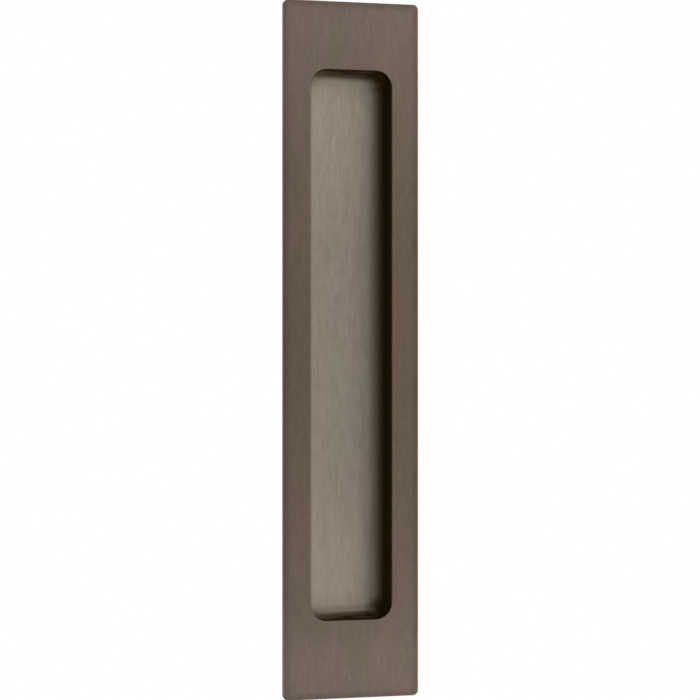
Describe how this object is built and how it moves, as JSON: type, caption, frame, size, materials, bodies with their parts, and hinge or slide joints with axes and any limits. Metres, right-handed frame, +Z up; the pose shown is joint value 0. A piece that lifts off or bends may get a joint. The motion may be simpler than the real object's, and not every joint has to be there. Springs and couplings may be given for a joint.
{
  "type": "flush sliding door pull",
  "caption": "Tall rectangular flush pull for a sliding door: a thin brushed bronze plate with a deep round-cornered finger recess and tapped fixing bosses behind its end lands.",
  "frame": {"origin": "middle of the plate, in the plane where the plate's back seats on the door's face", "axes": "+Z up along the plate, +X across it to the right as seen from the room, +Y into the door"},
  "size_m": [0.05, 0.0145, 0.25],
  "materials": {
    "brushed_bronze": "satin"
  },
  "bodies": {
    "root": {"pull_body": "brushed_bronze"}
  },
  "joints": []
}
